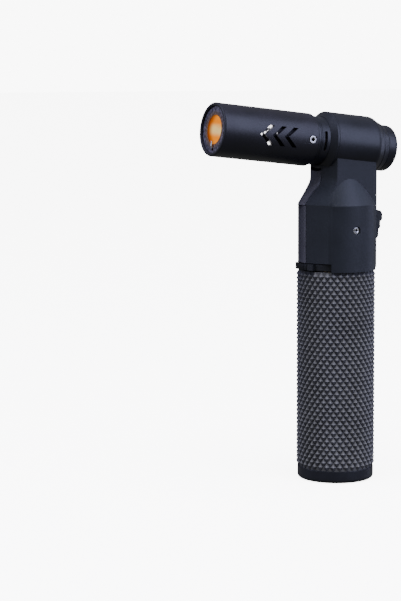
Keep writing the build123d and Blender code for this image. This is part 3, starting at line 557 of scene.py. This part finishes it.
def soften_facet(piece):
    """Blends a housing half's front facet into its round side with a wide bevel."""
    corners = piece.data.vertices
    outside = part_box("grip_sleeve")[1][0] - 0.3 * MM
    shortest, turn_from, turn_to = 15 * MM, 42, 52    # the edge's height and its turn from the front

    def facet_edge(edge):
        a, b = (corners[index].co for index in edge.vertices)
        turn = abs(math.degrees(math.atan2(a.y, a.x)))
        round_side = min(a.xy.length, b.xy.length) > outside
        return abs(a.z - b.z) > shortest and round_side and turn_from < turn < turn_to

    pick(piece, "EDGE", facet_edge)
    bpy.ops.mesh.bevel(offset=bpy.context.scene.torch_sizes.facet_edge, segments=5, clamp_overlap=True)


def make_screws(width):
    """The bright screws, with their sockets painted dark as shade."""
    rim_depth = 0.12 * MM    # faces deeper than this belong to the socket
    for node in ("housing_screws", "barrel_screws"):
        piece = rounded_copy(node, width)
        dress(piece, "torch", "bright_steel", finish("bright_steel"), node)
        piece.data.materials.append(finish("recess"))
        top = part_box(node)[1][1]
        for face in piece.data.polygons:
            # socket faces take the painted shade
            if abs(face.center.y) < top - rim_depth:
                face.material_index = 1


def finish_inner_parts():
    """Gives every CAD node that still shows its finish."""
    slots = {part["node"]: part["material_slot"] for part in frame["record"]["subparts"]}
    for name, node in frame["nodes"].items():
        if node.hide_render:
            continue
        material = finish("soot" if name == "heat_shield" else slots[name])
        if not node.material_slots:
            raise RuntimeError(f"{name} has no place for its finish")
        for held in node.material_slots:
            held.material = material


# ---------------------------------------------------------------- stage
def make_stage(stage):
    """A pale floor, soft lights, a plain world and the camera."""
    bpy.ops.object.select_all(action="DESELECT")
    floor_size, floor_drop = 40.0, 0.2 * MM
    bpy.ops.mesh.primitive_plane_add(size=floor_size, location=(0, 0, -floor_drop))
    floor = bpy.context.active_object
    floor.name = "floor"
    bpy.ops.object.transform_apply(location=True)
    material, tree, shader, place = surface("Studio floor", {"Roughness": 0.2, "Specular IOR Level": 0.4,
                                                             "Emission Color": linear("#ffffff"),
                                                             "Emission Strength": stage.floor_glow})
    patches = add(tree, "ShaderNodeTexNoise", {"Vector": place, "Scale": per(400)})
    colour = add(tree, "ShaderNodeMix", {0: patches.outputs["Fac"], 6: linear("#f4f4f5"),
                                         7: linear("#f8f8f8")},
                 data_type="RGBA")
    tree.links.new(colour.outputs[2], shader.inputs["Base Color"])
    floor.data.materials.append(material)
    floor.visible_glossy = False
    floor.visible_diffuse = False

    world = bpy.data.worlds.new("Studio")
    bpy.context.scene.world = world
    world.use_nodes = True
    tree = world.node_tree
    tree.nodes.clear()
    seen = add(tree, "ShaderNodeLightPath").outputs["Is Camera Ray"]
    strength = add(tree, "ShaderNodeMapRange",
                   {"Value": seen, "To Min": stage.fill, "To Max": stage.backdrop})
    backdrop = add(tree, "ShaderNodeBackground",
                   {"Color": linear("#ffffff"), "Strength": strength.outputs["Result"]})
    add(tree, "ShaderNodeOutputWorld", {"Surface": backdrop.outputs["Background"]})

    target = Vector((0, 0, stage.target_height))
    sky_spread = math.radians(50)
    sky_way = Vector((-0.14, -0.27, -1.0))
    sky = bpy.data.lights.new("sky_light", "SUN")
    sky.energy = stage.sky_power
    sky.angle = sky_spread
    overhead = bpy.data.objects.new("sky_light", sky)
    overhead.rotation_euler = sky_way.to_track_quat("-Z", "Y").to_euler()
    overhead.visible_glossy = False
    bpy.context.scene.collection.objects.link(overhead)
    lamp_distance = 1.2
    # Each lamp's turn round the torch and its lift in degrees, its width and height in metres, and its watts.
    lamps = (
        ("key_light", 120, 32, 0.8, 1.3, stage.key_power),
        ("left_light", -20, 30, 0.9, 1.2, stage.side_power),
        ("right_light", 178, 8, 0.3, 0.8, stage.side_power * 0.25),
    )
    for name, turn, lift, width, height, power in lamps:
        lamp = bpy.data.lights.new(name, "AREA")
        lamp.shape = "RECTANGLE"
        lamp.size = width
        lamp.size_y = height
        lamp.energy = power
        lamp.color = bpy.context.scene.torch_colours.lamps[:3]
        holder = bpy.data.objects.new(name, lamp)
        way = Matrix.Rotation(math.radians(turn), 3, "Z") @ Matrix.Rotation(-math.radians(lift), 3, "Y")
        holder.location = target + way @ Vector((lamp_distance, 0, 0))
        holder.rotation_euler = (target - holder.location).to_track_quat("-Z", "Y").to_euler()
        bpy.context.scene.collection.objects.link(holder)

    turn, lift, roll = stage.azimuth, stage.elevation, stage.roll
    right = Vector((math.cos(turn), math.sin(turn), 0))
    back = Vector((math.sin(turn) * math.cos(lift), -math.cos(turn) * math.cos(lift), math.sin(lift)))
    up = back.cross(right)
    tilted_right = right * math.cos(roll) + up * math.sin(roll)
    tilted_up = up * math.cos(roll) - right * math.sin(roll)
    view = bpy.data.cameras.new("camera")
    view.lens = stage.lens
    view.sensor_width = 36.0
    camera = bpy.data.objects.new("camera", view)
    camera.location = target + right * stage.offset + back * stage.distance
    camera.rotation_euler = Matrix((tilted_right, tilted_up, back)).transposed().to_euler()
    bpy.context.scene.collection.objects.link(camera)
    bpy.context.scene.camera = camera


# ---------------------------------------------------------------- settings
def shade(name, description, code):
    """A colour setting that starts at an sRGB hex code."""
    return bpy.props.FloatVectorProperty(name=name, description=description, default=linear(code), size=4,
                                         min=0.0, max=1.0, subtype="COLOR")


class TorchColours(bpy.types.PropertyGroup):
    """Colours of the finishes, of the hot burner and of the lamps."""

    grip: shade("Grip", "Anodised grip, darker cloud", "#353538")
    grip_light: shade("Grip, light", "Anodised grip, lighter cloud", "#424246")
    # rubbed wear and a painted highlight on the knurl's tips
    grip_crest_rub_and_highlight: shade("Grip crests", "Rubbed tips of the knurl", "#68686e")
    housing: shade("Housing", "Lacquer, darker cloud", "#15171d")
    housing_light: shade("Housing, light", "Lacquer, lighter cloud", "#1a1c23")
    head: shade("Head", "Enamel of the head, darker cloud", "#101117")
    head_light: shade("Head, light", "Enamel of the head, lighter cloud", "#15161d")
    barrel: shade("Barrel", "Enamel of the barrel, darker cloud", "#121218")
    barrel_light: shade("Barrel, light", "Enamel of the barrel, lighter cloud", "#17161e")
    trigger: shade("Trigger", "Nylon of the trigger and its cover, darker cloud", "#35343d")
    trigger_light: shade("Trigger, light", "Nylon of the trigger and its cover, lighter cloud", "#3f3e48")
    control: shade("Controls", "Thumb slide and flame adjuster, darker cloud", "#0e0f12")
    control_light: shade("Controls, light", "Thumb slide and flame adjuster, lighter cloud", "#131418")
    # colours of the burner's painted glow, standing in for the flame's light
    glow: shade("Glow", "Hot burner, above and below", "#ff9a00")
    glow_middle: shade("Glow, middle", "Hot burner, across the middle", "#fff1a0")
    lamps: shade("Lamps", "Light of the lamps", "#ccd2ff")


class TorchSizes(bpy.types.PropertyGroup):
    """Sizes of the grip's knurl and of the rounded edges."""

    knurl_width: bpy.props.FloatProperty(name="Knurl width", description="Width of one diamond",
                                         default=3.0 * MM,
                                         subtype="DISTANCE", unit="LENGTH")
    knurl_height: bpy.props.FloatProperty(name="Knurl height", description="Height of one diamond",
                                          default=3.7 * MM, subtype="DISTANCE", unit="LENGTH")
    knurl_depth: bpy.props.FloatProperty(name="Knurl depth",
                                         description="From the diamonds' tips to the valleys",
                                         default=1.1 * MM, subtype="DISTANCE", unit="LENGTH")
    knurl_flat: bpy.props.FloatProperty(name="Knurl flat",
                                        description="Half the width of a diamond's worn tip",
                                        default=0.1 * MM, subtype="DISTANCE", unit="LENGTH")
    grip_wall: bpy.props.FloatProperty(name="Grip wall", description="From the diamonds' tips to the bore",
                                       default=1.6 * MM, subtype="DISTANCE", unit="LENGTH")
    edge: bpy.props.FloatProperty(name="Edge", description="Rounding of the housing's edges",
                                  default=0.3 * MM,
                                  subtype="DISTANCE", unit="LENGTH")
    facet_edge: bpy.props.FloatProperty(name="Facet edge",
                                        description="Rounding of the housing's front facet",
                                        default=2.0 * MM, subtype="DISTANCE", unit="LENGTH")
    fine_edge: bpy.props.FloatProperty(name="Fine edge", description="Rounding of small pieces' edges",
                                       default=0.15 * MM, subtype="DISTANCE", unit="LENGTH")


class TorchStage(bpy.types.PropertyGroup):
    """The camera's place and the strength of the lights."""

    lens: bpy.props.FloatProperty(name="Lens", description="Focal length", default=110.0, unit="CAMERA")
    azimuth: bpy.props.FloatProperty(name="Azimuth", description="Direction of the view round the torch",
                                     default=math.radians(152.05), subtype="ANGLE")
    elevation: bpy.props.FloatProperty(name="Elevation", description="How far the view looks down",
                                       default=math.radians(6.935), subtype="ANGLE")
    roll: bpy.props.FloatProperty(name="Roll", description="Tilt of the picture", default=math.radians(-0.29),
                                  subtype="ANGLE")
    target_height: bpy.props.FloatProperty(name="Target height", description="Height that the view aims at",
                                           default=77.31 * MM, subtype="DISTANCE", unit="LENGTH")
    offset: bpy.props.FloatProperty(name="Offset", description="Camera to the side of the grip",
                                    default=-58.28 * MM, subtype="DISTANCE", unit="LENGTH")
    distance: bpy.props.FloatProperty(name="Distance", description="Camera from the grip",
                                      default=791.44 * MM,
                                      subtype="DISTANCE", unit="LENGTH")
    backdrop: bpy.props.FloatProperty(name="Backdrop", description="Brightness of the backdrop", default=9.0)
    floor_glow: bpy.props.FloatProperty(name="Floor glow", description="Light from the floor", default=6.6)
    fill: bpy.props.FloatProperty(name="Fill", description="Brightness of the room", default=0.2)
    sky_power: bpy.props.FloatProperty(name="Sky light", description="Strength of the soft light overhead",
                                       default=11.0)
    key_power: bpy.props.FloatProperty(name="Key light", description="Power in watts", default=15.0)
    side_power: bpy.props.FloatProperty(name="Side lights", description="Power in watts", default=9.0)


# ---------------------------------------------------------------- operators
class TORCH_OT_stage(bpy.types.Operator):
    """Add the floor, the lights, the world and the camera"""

    bl_idname = "torch.stage"
    bl_label = "Stage"

    def execute(self, context):
        make_stage(context.scene.torch_stage)
        return {"FINISHED"}


class TORCH_OT_grip(bpy.types.Operator):
    """Cut the diamond-knurled grip"""

    bl_idname = "torch.grip"
    bl_label = "Knurled grip"

    def execute(self, context):
        make_grip(context.scene.torch_sizes)
        return {"FINISHED"}


class TORCH_OT_housing(bpy.types.Operator):
    """Round the edges of the two housing halves and the spine"""

    bl_idname = "torch.housing"
    bl_label = "Housing"

    def execute(self, context):
        make_rounded([("housing_left", "torch", "housing", "housing"),
                      ("housing_right", "torch", "housing", "housing"),
                      ("back_spine", "torch", "housing", "housing")], context.scene.torch_sizes.edge)
        return {"FINISHED"}


class TORCH_OT_head(bpy.types.Operator):
    """Round the edges of the burner head, its tail cap and the air collar"""

    bl_idname = "torch.head"
    bl_label = "Burner head"

    def execute(self, context):
        make_rounded([("head_body", "torch", "head", "head"), ("tail_cap", "torch", "head", "head"),
                      ("air_collar", "torch", "head", "head")], context.scene.torch_sizes.fine_edge)
        return {"FINISHED"}


class TORCH_OT_base(bpy.types.Operator):
    """Round the edges of the ring under the grip"""

    bl_idname = "torch.base"
    bl_label = "Base ring"

    def execute(self, context):
        make_rounded([("base_cap", "torch", "head", "head")], context.scene.torch_sizes.fine_edge)
        return {"FINISHED"}


class TORCH_OT_barrel(bpy.types.Operator):
    """Round the edges of the barrel, its vents and the ring in its mouth"""

    bl_idname = "torch.barrel"
    bl_label = "Barrel"

    def execute(self, context):
        make_rounded([("barrel", "torch", "barrel", "barrel"), ("flame_ring", "torch", "steel", "ring")],
                     context.scene.torch_sizes.fine_edge)
        return {"FINISHED"}


class TORCH_OT_screws(bpy.types.Operator):
    """Round the screws' edges and darken their sockets"""

    bl_idname = "torch.screws"
    bl_label = "Screws"

    def execute(self, context):
        make_screws(context.scene.torch_sizes.fine_edge)
        return {"FINISHED"}


class TORCH_OT_controls(bpy.types.Operator):
    """Round the edges of the trigger, its cover, the thumb slide and the flame adjuster"""

    bl_idname = "torch.controls"
    bl_label = "Controls"

    def execute(self, context):
        make_rounded([("trigger", "trigger", "trigger", "trigger"),
                      ("front_cover", "torch", "trigger", "trigger"),
                      ("lock_slide", "lock_slide", "black_plastic", "black_plastic"),
                      ("flame_adjuster", "flame_adjuster", "adjuster", "adjuster")],
                     context.scene.torch_sizes.fine_edge)
        return {"FINISHED"}


class TORCH_OT_inner_parts(bpy.types.Operator):
    """Give each part that keeps its CAD form its finish"""

    bl_idname = "torch.inner_parts"
    bl_label = "Other parts"

    def execute(self, context):
        finish_inner_parts()
        return {"FINISHED"}


OPERATORS = (TORCH_OT_stage, TORCH_OT_grip, TORCH_OT_housing, TORCH_OT_controls, TORCH_OT_head,
             TORCH_OT_base, TORCH_OT_barrel, TORCH_OT_screws, TORCH_OT_inner_parts)


class TORCH_PT_panel(bpy.types.Panel):
    """Lists the torch's pieces in the sidebar"""

    bl_idname = "TORCH_PT_panel"
    bl_label = "Butane torch"
    bl_space_type = "VIEW_3D"
    bl_region_type = "UI"
    bl_category = "Torch"

    def draw(self, context):
        scene = context.scene
        for group in (scene.torch_sizes, scene.torch_colours, scene.torch_stage):
            for name in group.bl_rna.properties.keys():
                if name not in ("rna_type", "name"):
                    self.layout.prop(group, name)
        for operator in OPERATORS:
            self.layout.operator(operator.bl_idname)


CLASSES = (TorchSizes, TorchColours, TorchStage, *OPERATORS, TORCH_PT_panel)


def register():
    for item in CLASSES:
        bpy.utils.register_class(item)
    bpy.types.Scene.torch_sizes = bpy.props.PointerProperty(type=TorchSizes)
    bpy.types.Scene.torch_colours = bpy.props.PointerProperty(type=TorchColours)
    bpy.types.Scene.torch_stage = bpy.props.PointerProperty(type=TorchStage)


def unregister():
    del bpy.types.Scene.torch_stage
    del bpy.types.Scene.torch_colours
    del bpy.types.Scene.torch_sizes
    for item in reversed(CLASSES):
        bpy.utils.unregister_class(item)


def main():
    register()
    bpy.ops.torch.stage()
    bpy.ops.torch.grip()
    bpy.ops.torch.housing()
    bpy.ops.torch.controls()
    bpy.ops.torch.head()
    bpy.ops.torch.base()
    bpy.ops.torch.barrel()
    bpy.ops.torch.screws()
    bpy.ops.torch.inner_parts()


if __name__ == "__main__":
    main()
